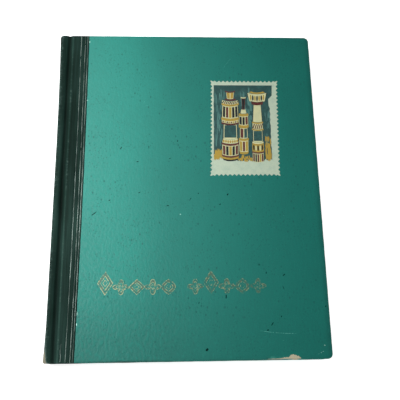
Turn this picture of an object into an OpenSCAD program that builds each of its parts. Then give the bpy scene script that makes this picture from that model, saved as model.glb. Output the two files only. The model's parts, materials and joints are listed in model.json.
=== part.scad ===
// Stamp album: a case-bound stock book with a quarter-cloth binding, eight card leaves with
// pocket strips, glassine interleaves and hinged covers. Shown closed, lying on its back cover.
// Frame: +Z up, +Y towards the head, spine at -X. Origin: centre of the base rectangle.

/* [Covers] */
// Width from the outer face of the spine to the fore edge
width = 236; // [224:1:245]
// Height from the tail edge to the head edge
height = 301; // [290:1:312]
// Corner radius of both covers at the fore edge
corner_r = 4.5; // [3:0.5:6]
// Thickness of the greyboard in both covers
board_t = 2.2; // [1.8:0.1:2.6]
// Distance from the outer face of the spine to the near edge of the boards
board_x = 9; // [8.5:0.5:10]
// Thickness of the covering paper, and of the cloth where it lies on the boards
skin_t = 0.25; // [0.2:0.05:0.3]
// Distance from the outer face of the spine to the line where cloth and paper meet
cloth_x = 24.5; // [20:0.5:30]
// Width of the turn-ins of paper and cloth inside the covers
turn_in = 15; // [12:1:18]
// Depth of the sunk joint between spine and boards
groove_d = 1.3; // [0.8:0.1:1.5]
// Thickness of the pastedown endpapers
paste_t = 0.15; // [0.1:0.05:0.2]
// Border left uncovered round the pastedowns
border = 4.5; // [3.5:0.5:6]

/* [Spine] */
// Thickness of the cloth over the spine
spine_cloth_t = 0.35; // [0.3:0.05:0.4]
// Thickness of the spine board
spine_board_t = 1.75; // [1.5:0.05:1.8]
// Outer radius of the shoulders where the spine turns into the joints
shoulder_r = 1.5; // [1.3:0.1:1.6]
// Radius of the rolled head and tail bands
band_r = 0.9; // [0.7:0.1:1]

/* [Leaves] */
// How far the leaves end short of the covers at the head and at the tail
end_margin = 4.5; // [4.5:0.5:8]
// How far the leaves end short of the covers at the fore edge
fore_margin = 5; // [5:0.5:15]
// Thickness of the card in a leaf
card_t = 0.5; // [0.4:0.05:0.5]
// Spacing of the card leaves
pitch = 1.5; // [1.5:0.1:2.2]
// Thickness of the pocket strips and of the linen prongs on a leaf
strip_t = 0.12; // [0.08:0.01:0.14]
// Height of a pocket strip
strip_h = 27; // [22:1:29]

/* [Hidden] */
$fn = 48;
leaves = 8;
rows = 9;
leaf_h = height - 2 * end_margin;
leaf_end = width - fore_margin;
// Where the sheets fold, and where they start clear of the fold
fold_x = 3.6;
sheet_x = fold_x + 1;
// Start of the card, end of the linen prongs on it, and the span of the pocket strips
card_x = 15;
prong_end = 25;
strip_x0 = 29;
strip_x1 = leaf_end - 6;
fly_inset = 0.5;
stem_t = 0.16;
prong_root = 0.2;
fly_t = 0.15;
inter_t = 0.1;
inter_inset = 1;
// Air between a pastedown and the middle of the flyleaf beside it
end_gap = 0.4;
// Air between the pastedowns and the folds, the block and the covers, and the bands and their ends
paste_gap = 0.3;
block_gap = 0.3;
band_gap = 0.1;
band_rise = 0.4;
// The joint cloth starts clear of the spine shoulder
joint_x = shoulder_r + 0.4;
joint_steps = 24;
// Layers of the spine from its board inwards
liner_t = 0.3;
mull_t = 0.3;
block_t = 0.6;
liner_x = spine_cloth_t + spine_board_t;
mull_x = liner_x + liner_t;
block_x = mull_x + mull_t;
liner_inset = 1;
mull_inset = 0.5;
// Heights
paste_z = board_t + 2 * skin_t;
cover_t = paste_z + paste_t;
fly_z = cover_t + end_gap;
thick = 2 * fly_z + leaves * pitch;
block_z = cover_t + block_gap;
band_z = block_z + band_gap;
// The block is a little taller than the leaves so that it carries the two bands
band_y = leaf_h / 2 + band_r + band_rise;
block_half = band_y + band_r;

// Height of the middle of leaf k; leaf 1 is next to the front cover
function leaf_z(k) = fly_z + pitch / 2 + (leaves - k) * pitch;
// Depth of the joint groove at distance x from the spine face
function groove(x) = groove_d * (1 - cos(360 * (x - joint_x) / (board_x - joint_x))) / 2;

// Moves a piece drawn from the spine face at x = 0 into the frame
module bound() translate([-width / 2, 0, 0]) children();
// Turns a back cover piece over into a front cover piece
module front_side() translate([0, 0, thick]) mirror([0, 0, 1]) children();
// A box from x0 to x1 and z0 to z1, as tall as twice half_h
module slab(x0, x1, half_h, z0, z1)
  translate([x0, -half_h, z0]) cube([x1 - x0, 2 * half_h, z1 - z0]);
// A cover-shaped plate with two rounded corners at the fore edge
module plate(x0, x1, half_h, r, z0, z1)
  translate([0, 0, z0]) linear_extrude(z1 - z0) {
    translate([x0, -half_h]) square([x1 - r - x0, 2 * half_h]);
    translate([x1 - r - 0.01, r - half_h]) square([r + 0.01, 2 * (half_h - r)]);
    for (s = [-1, 1]) translate([x1 - r, s * (half_h - r)]) circle(r);
  }
// An outline in x and z drawn out along the height of the album
module along(half_h) rotate([90, 0, 0]) linear_extrude(2 * half_h, center = true) children();
// The joint cloth's outline, lifted by z
module joint_outline(z, x1) {
  xs = [for (i = [0:joint_steps]) joint_x + (x1 - joint_x) * i / joint_steps];
  polygon(concat([for (x = xs) [x, z + groove(x)]],
    [for (i = [joint_steps:-1:0]) [xs[i], z + groove(xs[i]) + skin_t]]));
}

module board() color("#8c8068")
  plate(board_x, width - skin_t, height / 2 - skin_t, corner_r - skin_t, skin_t, skin_t + board_t);

module cover_paper() color("#3a8a7c")
  difference() {
    plate(cloth_x, width, height / 2, corner_r, 0, paste_z);
    plate(cloth_x - 1, width - skin_t, height / 2 - skin_t, corner_r - skin_t, skin_t, skin_t + board_t);
    slab(cloth_x - 1, width - turn_in, height / 2 - turn_in, skin_t, paste_z + 1);
  }

module joint_cloth() color("#22382f") {
  difference() {
    slab(board_x, cloth_x, height / 2, 0, paste_z);
    slab(board_x - 1, cloth_x + 1, height / 2 - skin_t, skin_t, skin_t + board_t);
    slab(board_x - 1, cloth_x + 1, height / 2 - turn_in, skin_t, paste_z + 1);
  }
  along(height / 2) joint_outline(0, board_x);
  for (s = [-1, 1]) translate([0, s * (height - turn_in) / 2, 0])
    along(turn_in / 2) joint_outline(skin_t, board_x);
}

module pastedown() color("#d8d2be") {
  slab(sheet_x + paste_gap, width - border, height / 2 - border, paste_z, cover_t);
  slab(board_x, width - turn_in, height / 2 - turn_in, skin_t + board_t, paste_z);
}

module spine_board() color("#8c8068")
  slab(spine_cloth_t, liner_x, height / 2 - spine_cloth_t, shoulder_r, thick - shoulder_r);

module spine_cloth() color("#22382f") {
  along(height / 2) {
    translate([0, shoulder_r]) square([spine_cloth_t, thick - 2 * shoulder_r]);
    for (z = [shoulder_r, thick - shoulder_r]) intersection() {
      translate([shoulder_r, z]) difference() {
        circle(shoulder_r);
        circle(shoulder_r - spine_cloth_t);
      }
      translate([0, z < thick / 2 ? 0 : z]) square(shoulder_r);
    }
  }
  for (s = [-1, 1]) {
    translate([0, s * (height - spine_cloth_t) / 2, 0])
      slab(spine_cloth_t, liner_x + spine_cloth_t, spine_cloth_t / 2, shoulder_r, thick - shoulder_r);
    translate([0, s * (height - turn_in) / 2, 0])
      slab(liner_x, liner_x + spine_cloth_t, turn_in / 2, shoulder_r, thick - shoulder_r);
  }
}

module spine_liner() color("#b79a6a")
  slab(liner_x, mull_x, height / 2 - turn_in - liner_inset, shoulder_r, thick - shoulder_r);

module mull_strip() color("#d9d4c4")
  slab(mull_x, block_x, height / 2 - turn_in - liner_inset, shoulder_r + mull_inset,
    thick - shoulder_r - mull_inset);

module guard_stubs() color("#cfc9b6")
  slab(block_x, block_x + block_t, block_half, block_z, thick - block_z);

// Rolled band across the end of the block, drawn as a half round against it
module band() color("#c9c2a8")
  intersection() {
    translate([block_x + block_t, band_y, band_z]) cylinder(r = band_r, h = thick - 2 * band_z);
    translate([block_x + block_t, band_y - band_r, band_z]) cube([band_r, 2 * band_r, thick]);
  }

module flyleaf() color("#ded8c6")
  slab(sheet_x, leaf_end - fly_inset, leaf_h / 2, fly_z - fly_t / 2, fly_z + fly_t / 2);

module interleaf(k) color("#e6e6da", 0.6)
  translate([0, 0, leaf_z(k) - pitch / 2])
    slab(sheet_x, leaf_end - inter_inset, leaf_h / 2 - inter_inset, -inter_t / 2, inter_t / 2);

module leaf_card(k) color("#e8e1cc")
  translate([0, 0, leaf_z(k)]) slab(card_x, leaf_end, leaf_h / 2, -card_t / 2, card_t / 2);

// Linen guard: a stem from the fold and a prong on each face of the card
module leaf_hinge(k) color("#d2cbb5")
  translate([0, 0, leaf_z(k)]) {
    slab(sheet_x, card_x, leaf_h / 2, -stem_t / 2, stem_t / 2);
    slab(card_x - prong_root, card_x, leaf_h / 2, -card_t / 2 - strip_t, card_t / 2 + strip_t);
    for (s = [-1, 1]) translate([0, 0, s * (card_t + strip_t) / 2])
      slab(card_x, prong_end, leaf_h / 2, -strip_t / 2, strip_t / 2);
  }

// Clear strips on both faces of a leaf, each open along its upper edge
module leaf_pockets(k) color("#eef2f0", 0.5)
  for (s = [-1, 1], row = [0:rows - 1])
    translate([0, (row - (rows - 1) / 2) * leaf_h / rows, leaf_z(k) + s * (card_t + strip_t) / 2])
      slab(strip_x0, strip_x1, strip_h / 2, -strip_t / 2, strip_t / 2);

bound() board();  // back_board
bound() cover_paper();  // back_cover_paper
bound() joint_cloth();  // back_joint_cloth
bound() pastedown();  // back_pastedown
bound() spine_board();
bound() spine_cloth();
bound() spine_liner();
bound() mull_strip();
bound() guard_stubs();
bound() band();  // head_band
bound() mirror([0, 1, 0]) band();  // tail_band
bound() front_side() board();  // front_board
bound() front_side() cover_paper();  // front_cover_paper
bound() front_side() joint_cloth();  // front_joint_cloth
bound() front_side() pastedown();  // front_pastedown
bound() flyleaf();  // back_flyleaf
bound() front_side() flyleaf();  // front_flyleaf
bound() leaf_card(1);  // leaf_1_card
bound() leaf_hinge(1);  // leaf_1_hinge
bound() leaf_pockets(1);  // leaf_1_pockets
bound() leaf_card(2);  // leaf_2_card
bound() leaf_hinge(2);  // leaf_2_hinge
bound() leaf_pockets(2);  // leaf_2_pockets
bound() leaf_card(3);  // leaf_3_card
bound() leaf_hinge(3);  // leaf_3_hinge
bound() leaf_pockets(3);  // leaf_3_pockets
bound() leaf_card(4);  // leaf_4_card
bound() leaf_hinge(4);  // leaf_4_hinge
bound() leaf_pockets(4);  // leaf_4_pockets
bound() leaf_card(5);  // leaf_5_card
bound() leaf_hinge(5);  // leaf_5_hinge
bound() leaf_pockets(5);  // leaf_5_pockets
bound() leaf_card(6);  // leaf_6_card
bound() leaf_hinge(6);  // leaf_6_hinge
bound() leaf_pockets(6);  // leaf_6_pockets
bound() leaf_card(7);  // leaf_7_card
bound() leaf_hinge(7);  // leaf_7_hinge
bound() leaf_pockets(7);  // leaf_7_pockets
bound() leaf_card(8);  // leaf_8_card
bound() leaf_hinge(8);  // leaf_8_hinge
bound() leaf_pockets(8);  // leaf_8_pockets
bound() interleaf(1);  // interleaf_1
bound() interleaf(2);  // interleaf_2
bound() interleaf(3);  // interleaf_3
bound() interleaf(4);  // interleaf_4
bound() interleaf(5);  // interleaf_5
bound() interleaf(6);  // interleaf_6
bound() interleaf(7);  // interleaf_7
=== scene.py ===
"""Looks of the closed stamp album: quarter-cloth case, printed cover paper, and the leaves inside."""
import json
import random
from math import copysign, cos, exp, hypot, pi, radians, sin, sqrt, tau

import bpy
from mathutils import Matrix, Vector


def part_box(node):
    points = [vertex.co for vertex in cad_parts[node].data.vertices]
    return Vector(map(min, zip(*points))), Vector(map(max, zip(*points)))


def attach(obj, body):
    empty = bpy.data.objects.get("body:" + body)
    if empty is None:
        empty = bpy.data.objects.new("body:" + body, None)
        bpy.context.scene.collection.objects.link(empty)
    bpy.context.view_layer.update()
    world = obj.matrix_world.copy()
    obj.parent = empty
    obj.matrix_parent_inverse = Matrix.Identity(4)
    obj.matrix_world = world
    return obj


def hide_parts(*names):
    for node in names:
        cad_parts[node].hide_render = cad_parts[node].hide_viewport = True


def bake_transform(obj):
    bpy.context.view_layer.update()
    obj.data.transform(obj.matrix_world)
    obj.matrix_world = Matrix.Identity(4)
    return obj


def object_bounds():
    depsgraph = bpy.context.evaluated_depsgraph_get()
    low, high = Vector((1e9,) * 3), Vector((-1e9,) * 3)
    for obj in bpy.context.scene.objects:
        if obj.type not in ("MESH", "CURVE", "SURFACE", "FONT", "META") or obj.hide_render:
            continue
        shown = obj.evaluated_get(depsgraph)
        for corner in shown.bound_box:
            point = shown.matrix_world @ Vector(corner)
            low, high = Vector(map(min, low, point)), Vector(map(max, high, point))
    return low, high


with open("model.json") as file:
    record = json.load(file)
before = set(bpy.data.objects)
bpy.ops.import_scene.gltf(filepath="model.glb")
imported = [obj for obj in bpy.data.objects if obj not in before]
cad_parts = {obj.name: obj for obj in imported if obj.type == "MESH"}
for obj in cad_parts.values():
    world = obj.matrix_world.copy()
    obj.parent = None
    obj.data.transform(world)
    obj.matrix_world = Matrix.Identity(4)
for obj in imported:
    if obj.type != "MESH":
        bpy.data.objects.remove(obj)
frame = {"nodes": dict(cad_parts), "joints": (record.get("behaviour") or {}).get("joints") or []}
cad_lo, cad_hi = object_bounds()
MM = 0.001

# -------- places, all read from the frame
SPINE_X, FORE_X = cad_lo.x, cad_hi.x
HALF_H = cad_hi.y
TOP_Z = cad_hi.z
MID_Z = TOP_Z / 2
board_lo, board_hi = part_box("front_board")
SKIN = TOP_Z - board_hi.z
BOARD_X = board_lo.x
COVER_T = TOP_Z - board_lo.z + SKIN
paste_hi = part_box("front_pastedown")[1]
JOINT_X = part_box("front_joint_cloth")[0].x
BLOCK_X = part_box("guard_stubs")[1].x
SPINE_IN_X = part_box("spine_board")[1].x
HINGES = {j["child"]: Vector(j["pos_m"]) for j in frame["joints"]}
FOLD_X = HINGES["leaf_1"].x
N_LEAVES = sum(1 for n in frame["nodes"] if n.endswith("_card"))

# -------- sizes of the looks, in metres
CORNER_R = 4.5 * MM
EDGE_R = 0.6 * MM
TURN_IN = 15 * MM
CLOTH_R = 0.3 * MM
CLOTH_UNDER = 0.12 * MM
GROOVE_D = 1.35 * MM
# The joint groove's start, deepest place and end, in millimetres from the spine
GROOVE = (3.6, 7.3, 10.3)
SHOULDER_R = 1.5 * MM
LIFT = 0.02 * MM
# Places in millimetres from the spine: the middle of the painted shade in the groove, the end of the cloth at
# the tail, and the middles of the front cover's painted pool of light and of the darker stretch of its tail
# edge
GROOVE_SHADE_AT, PAPER_AT, LIT_AT, DARK_EDGE_AT = 6.6, 24.3, 60, 68
# Dents and rubbed places along the front cover's tail edge: place, width and depth in millimetres, or amount
DENTS = [(63, 5.5, 0.75), (190, 7, 0.5)]
RUBBED = [(202.5, 5.5, 0.55), (187, 6, 0.42)]
# The section of a tooled line: millimetres from its middle, and share of its depth
TOOLED = [(0.55, 0), (0.3, 0.5), (0.12, 1), (-0.12, 1), (-0.3, 0.5), (-0.55, 0)]


def from_spine(x_mm):
    """x in the frame of a place given in millimetres from the spine's outer face."""
    return SPINE_X + x_mm * MM


def from_tail(y_mm):
    """y in the frame of a place given in millimetres from the tail edge."""
    return -HALF_H + y_mm * MM


def slant(y):
    """How far the hand-laid lines and paper edge bow away from the spine at y."""
    t = (y + HALF_H) / (2 * HALF_H)
    return (4.9 * t - 3.4 * t * t) * MM


def smooth(t):
    """An even rise from 0 to 1 as t does, held at both ends."""
    t = min(1.0, max(0.0, t))
    return t * t * (3 - 2 * t)


def bell(distance, width):
    """1 at no distance, falling off over about that width."""
    return exp(-((distance / width) ** 2))


def wobble(s, seed, scale):
    """A smooth seeded wander between -1 and 1 along s."""
    p = s / scale
    return 0.5 * sin(p + seed) + 0.3 * sin(2.3 * p + 1.7 * seed) + 0.2 * sin(4.1 * p + 2.9 * seed)


def even(lo, hi, steps):
    """Evenly spaced values from lo to hi."""
    return [lo + (hi - lo) * i / steps for i in range(steps + 1)]


def circle(steps):
    """Evenly spaced angles once round."""
    return even(0, tau, steps)[:-1]


def quarter(steps):
    """Sines and cosines of evenly spaced angles from 0 to a right angle."""
    return [(sin(a), cos(a)) for a in even(0, pi / 2, steps)]


def show(name, data):
    """A new object in the scene."""
    obj = bpy.data.objects.new(name, data)
    bpy.context.scene.collection.objects.link(obj)
    return obj


# -------- materials
class Nodes:
    """Builds one procedural material. Every method that adds a node to it returns an output socket."""

    def __init__(self, name, own=True):
        self.material = bpy.data.materials.new(name)
        self.material.use_nodes = True
        self.tree = self.material.node_tree
        self.tree.nodes.clear()
        if own:
            self.at = self.new("Attribute", attribute_name="rest").outputs["Vector"]
        else:
            self.at = self.new("TexCoord").outputs["Object"]

    def new(self, kind, inputs=None, **settings):
        """A node with these settings, and its inputs linked, set, or for None left alone."""
        node = self.tree.nodes.new("ShaderNode" + kind)
        for key, value in settings.items():
            setattr(node, key, value)
        for key, value in (inputs or {}).items():
            socket = node.inputs[key]
            if isinstance(value, bpy.types.NodeSocket):
                self.tree.links.new(value, socket)
            elif value is not None:
                socket.default_value = (*value, 1) if socket.type == "RGBA" else value
        return node

    def place(self):
        """x and y of the place being shaded."""
        split = self.new("SeparateXYZ", {0: self.at})
        return split.outputs["X"], split.outputs["Y"]

    def stretch(self, scale, turn=0.0):
        inputs = {"Vector": self.at, "Rotation": (0, 0, turn), "Scale": scale}
        return self.new("Mapping", inputs).outputs["Vector"]

    def noise(self, scale, detail=2.0, rough=0.5, vector=None):
        inputs = {"Vector": vector or self.at, "Scale": scale, "Detail": detail, "Roughness": rough}
        return self.new("TexNoise", inputs).outputs["Fac"]

    def cells(self, scale, vector=None, dimensions="3D"):
        inputs = {"Vector": vector or self.at, "Scale": scale}
        return self.new("TexVoronoi", inputs, voronoi_dimensions=dimensions).outputs["Distance"]

    def wave(self, scale, direction, distortion):
        inputs = {"Vector": self.at, "Scale": scale, "Distortion": distortion}
        return self.new("TexWave", inputs, bands_direction=direction).outputs["Fac"]

    def math(self, op, a, b=0.0):
        return self.new("Math", {0: a, 1: b}, operation=op).outputs[0]

    def plus(self, a, b):
        return self.math("ADD", a, b)

    def minus(self, a, b):
        return self.math("SUBTRACT", a, b)

    def times(self, a, b):
        return self.math("MULTIPLY", a, b)

    def gap(self, a, b):
        """How far apart a and b are."""
        return self.math("ABSOLUTE", self.minus(a, b))

    def span(self, value, low, high, to_low=0.0, to_high=1.0):
        """Goes smoothly from to_low to to_high as value goes from low to high."""
        inputs = {"Value": value, "From Min": low, "From Max": high, "To Min": to_low, "To Max": to_high}
        return self.new("MapRange", inputs, interpolation_type="SMOOTHSTEP").outputs["Result"]

    def wear(self, scale, rough, spread):
        """The piece's wear, broken up by a noise; on the cloth it also carries a painted sheen."""
        wear = self.new("Attribute", attribute_name="wear").outputs["Fac"]
        return self.plus(wear, self.span(self.noise(scale, 4, rough), 0, 1, -spread, spread))

    def mix(self, share, a, b):
        return self.new("Mix", {"Factor": share, "A": a, "B": b}, data_type="RGBA").outputs["Result"]

    def shade(self, color, amount, low, high):
        """color made darker and lighter by amount, a socket from 0 to 1."""
        grey = self.new("MapRange", {"Value": amount, "To Min": low, "To Max": high}).outputs["Result"]
        return self.new("VectorMath", {0: color, "Scale": grey}, operation="SCALE").outputs["Vector"]

    def bump(self, height, distance, strength=1.0, normal=None):
        inputs = {"Strength": strength, "Distance": distance, "Height": height, "Normal": normal}
        return self.new("Bump", inputs).outputs["Normal"]

    def finish(self, color, roughness, normal=None, **fixed):
        """The material itself, with its shader's other inputs given by name."""
        inputs = {"Base Color": color, "Roughness": roughness, "Normal": normal}
        inputs.update({key.replace("_", " "): value for key, value in fixed.items()})
        shader = self.new("BsdfPrincipled", inputs)
        self.new("OutputMaterial", {"Surface": shader.outputs["BSDF"]})
        return self.material


TEAL = (0.0030, 0.207, 0.165)
# a redder teal mixed in towards the spine: partly fading, partly the lamp's sheen painted into the colour
TEAL_FADE_AND_SHEEN = (0.0150, 0.207, 0.165)
TEAL_DARK = (0.001, 0.105, 0.084)
TEAL_LIGHT = (0.060, 0.34, 0.275)
BOARD_TAN = (0.50, 0.42, 0.27)
CLOTH_DARK = (0.0052, 0.0155, 0.0115)
CLOTH_GREY = (0.0170, 0.0420, 0.0340)
CLOTH_RUBBED_AND_SHEEN = (0.075, 0.125, 0.110)
FRAYED = (0.25, 0.24, 0.18)


def embossing(n, across, up):
    """Height of the cover paper's pressed grain: short slanting ridges, deeper towards the tail and spine."""
    ridges = n.span(n.noise(380, 2, 0.5, n.stretch((1.15, 0.75, 1), 0.6)), 0.32, 0.70)
    depth = n.times(n.span(up, -0.9 * HALF_H, 0.1 * HALF_H, 1.0, 0.4),
                    n.span(across, from_spine(70), from_spine(150), 1.0, 0.5))
    return n.times(n.minus(ridges, 0.5), depth)


def specks(n, scale, low, high, amount, turn):
    """Scattered small spots: those cells of a scattering that a coarser noise picks out."""
    spot = n.span(n.cells(scale, n.stretch((1, 0.7, 1), turn), "2D"), low, high, 1, 0)
    return n.times(spot, n.span(n.noise(scale / 3.7), amount, amount + 0.06))


def cover_paper_material():
    """Teal pressed paper, paler towards the spine partly from fading and partly as painted light and sheen,
    with a painted pool of light, painted shade towards the tail and at the fore edge, painted light and shade
    on its pressed grain, and a darker stretch along the tail edge; it wears pale and then through to the
    board.
    """
    n = Nodes("cover_paper")
    across, up = n.place()
    relief = embossing(n, across, up)
    grain = n.noise(1500, 3, 0.7)
    fibre = n.noise(900, 3, 0.6, n.stretch((1.5, 0.12, 1), 0.06))
    # paler towards the spine: partly real fading, partly painted light and sheen from the lamp on that side
    faded = n.span(across, SPINE_X, FORE_X, 1.0, 0.0)
    tail = n.span(up, -HALF_H, -0.45 * HALF_H, 1, 0)
    color = n.shade(n.shade(n.mix(faded, TEAL, TEAL_FADE_AND_SHEEN), faded, 0.78, 1.12), n.noise(28, 3), 0.90, 1.10)
    # painted shade: darker towards the tail, most beside the spine
    color = n.shade(color, n.times(tail, faded), 1.0, 0.64)
    # painted light: a broad lighter band across the cover
    lit = n.span(n.gap(across, from_spine(LIT_AT)), 4 * MM, 42 * MM, 1, 0)
    color = n.shade(color, lit, 1.0, 1.13)
    # darker along the tail edge, most round one stretch of it
    dark_edge = n.times(n.span(up, -HALF_H, 2.6 * MM - HALF_H, 1, 0),
                   n.span(n.gap(across, from_spine(DARK_EDGE_AT)), 12 * MM, 46 * MM, 1, 0.3))
    color = n.shade(color, dark_edge, 1.0, 0.45)
    # painted shade: darker over the last millimetres before the fore edge, where it rounds off
    color = n.shade(color, n.span(across, FORE_X - 6 * MM, FORE_X, 0, 1), 1.0, 0.72)
    # painted light and shade on the pressed grain: ridges lighter and paler, hollows darker
    color = n.shade(color, n.plus(relief, 0.5), 0.96, 1.05)
    color = n.mix(n.span(relief, 0.05, 0.5, 0, 0.17), color, TEAL_LIGHT)
    color = n.shade(color, grain, 0.70, 1.30)
    color = n.shade(color, fibre, 0.88, 1.12)
    pits = n.math("MAXIMUM", n.times(specks(n, 120, 0.04, 0.12, 0.55, 0.4), 0.85),
                  n.times(specks(n, 330, 0.08, 0.22, 0.51, 1.3), 0.55))
    color = n.mix(pits, color, TEAL_DARK)
    color = n.mix(n.times(specks(n, 150, 0.02, 0.04, 0.56, 2.2), 0.35), color, TEAL_LIGHT)
    wear = n.wear(260, 0.65, 0.42)
    color = n.mix(n.span(wear, 0.50, 0.70, 0, 0.45), color, TEAL_LIGHT)
    bare = n.span(wear, 0.80, 0.86)
    color = n.mix(bare, color, n.shade(BOARD_TAN, n.noise(900, 3), 0.65, 1.3))
    normal = n.bump(n.plus(relief, n.times(grain, 0.35)), 0.13 * MM)
    normal = n.bump(n.minus(n.noise(11, 1), n.times(bare, 0.5)), 0.35 * MM, 0.6, normal)
    rough = n.span(n.plus(relief, bare), -0.3, 0.9, 0.54, 0.85)
    return n.finish(color, rough, normal, Specular_IOR_Level=0.62, Specular_Tint=(0.70, 1.0, 0.98))


def cloth_material():
    """Dark binding cloth with painted shade in the joint's groove, a painted highlight and some rubbing on
    its ridge, and frayed where it is worn.
    """
    n = Nodes("binding_cloth")
    grain = n.cells(1150, n.stretch((1, 1, 1), 0.3))
    fine = n.noise(2600, 2)
    across = n.place()[0]
    streak = n.noise(650, 3, 0.6, n.stretch((1, 0.03, 1)))
    color = n.mix(n.span(n.noise(60, 3, 0.5, n.stretch((1, 0.2, 1))), 0.25, 0.80), CLOTH_DARK, CLOTH_GREY)
    color = n.shade(color, streak, 0.25, 1.75)
    # painted shade: darker in the middle of the joint's groove
    color = n.shade(color, n.span(n.gap(across, from_spine(GROOVE_SHADE_AT)), 0.4 * MM, 2.2 * MM), 0.45, 1.0)
    # painted highlight along the ridge where the cloth rounds over the board's near edge
    ridge = n.gap(across, from_spine(GROOVE[2] + 0.3))
    color = n.shade(color, n.span(ridge, 0.1 * MM, 1.2 * MM), 1.75, 1.0)
    color = n.shade(color, fine, 0.70, 1.30)
    wear = n.wear(420, 0.7, 0.4)
    # rubbed cloth, which on the shoulder and ridge is also a painted sheen
    color = n.mix(n.span(wear, 0.10, 0.62), color, CLOTH_RUBBED_AND_SHEEN)
    bare = n.span(wear, 0.60, 0.78)
    color = n.mix(bare, color, n.shade(FRAYED, n.noise(1600, 3), 0.5, 1.4))
    normal = n.bump(n.plus(n.times(grain, 0.6), n.times(fine, 0.4)), 0.07 * MM)
    rough = n.span(n.plus(grain, bare), 0.1, 1.4, 0.48, 0.75)
    return n.finish(color, rough, normal, Specular_IOR_Level=0.03)


def foil_material(name, color, tarnish, wear_low, along=1.0, faded=0.0):
    """Worn foil; faded is how much more of it is gone beside the fore edge than beside the spine."""
    n = Nodes(name)
    rub = n.noise(500, 3, 0.6, n.stretch((1, along, 1)))
    if faded:
        rub = n.minus(rub, n.span(n.place()[0], from_spine(70), from_spine(190), 0, faded))
    mixed = n.mix(n.span(rub, wear_low, wear_low + 0.2), tarnish, color)
    mixed = n.shade(mixed, n.noise(2400, 2), 0.8, 1.15)
    normal = n.bump(n.noise(1800, 3), 0.04 * MM)
    return n.finish(mixed, n.span(rub, 0.3, 0.7, 0.6, 0.38), normal, Metallic=0.25)


def print_material(name, color, patches, spread, gloss=0.5):
    """Ink or bare stock of the printed motif, with the cover paper's grain showing through it."""
    n = Nodes(name)
    streak = n.noise(420, 3, 0.6, n.stretch((1.6, 0.55, 1), 0.5))
    fine = n.noise(1900, 3, 0.6)
    base = n.mix(n.span(n.noise(160, 4, 0.65), 0.42, 0.7, 0, 0.55), color, patches)
    base = n.shade(base, fine, 1 - spread, 1 + spread)
    rough = n.span(streak, 0.2, 0.8, 0.42, 0.6)
    return n.finish(base, rough, n.bump(streak, 0.09 * MM), Specular_IOR_Level=gloss)


def paper_material(name, color, fibre=0.12, own=True, alpha=1.0, rough=0.8, grain=0.03):
    """Plain paper or card with fibres, a few dark specks and a fine grain, its depth in millimetres."""
    n = Nodes(name, own)
    base = n.shade(color, n.noise(30, 3), 0.93, 1.06)
    base = n.shade(base, n.noise(1400, 3, 0.7), 1 - fibre, 1 + fibre)
    speck = n.span(n.cells(330, dimensions="2D"), 0.03, 0.07, 1, 0)
    base = n.mix(n.times(speck, 0.2), base, (0.3, 0.24, 0.14))
    normal = n.bump(n.noise(900, 4, 0.7), grain * MM)
    return n.finish(base, rough, normal, Alpha=alpha, Specular_IOR_Level=0.3)


def greyboard_material(own):
    """Brown board with its layers showing."""
    n = Nodes("greyboard", own)
    layers = n.noise(1300, 3, 0.7, n.stretch((0.3, 0.3, 4)))
    base = n.shade(BOARD_TAN, layers, 0.6, 1.3)
    base = n.shade(base, n.noise(70, 3), 0.85, 1.12)
    return n.finish(base, 0.9, n.bump(layers, 0.12 * MM))


def weave_material(name, color, dark, pitch, own=True):
    """A plain weave with threads every pitch metres."""
    n = Nodes(name, own)
    scale = pi / (20 * pitch)
    threads = n.math("MAXIMUM", n.wave(scale, "X", 0.6), n.wave(scale, "Y", 0.6))
    slub = n.noise(300, 3, 0.6, n.stretch((1, 0.15, 1)))
    base = n.shade(n.mix(threads, dark, color), slub, 0.8, 1.15)
    return n.finish(base, 0.88, n.bump(threads, 0.05 * MM), Sheen_Weight=0.15)


def film_material(name, color, alpha):
    """Clear film, a little hazy and drawn out across the strip."""
    n = Nodes(name)
    fibre = n.noise(500, 3, 0.6, n.stretch((0.3, 2, 1)))
    base = n.shade(color, n.noise(35, 3), 0.9, 1.06)
    return n.finish(base, n.span(fibre, 0.3, 0.7, 0.22, 0.4), n.bump(fibre, 0.006 * MM), Alpha=alpha)


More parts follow.
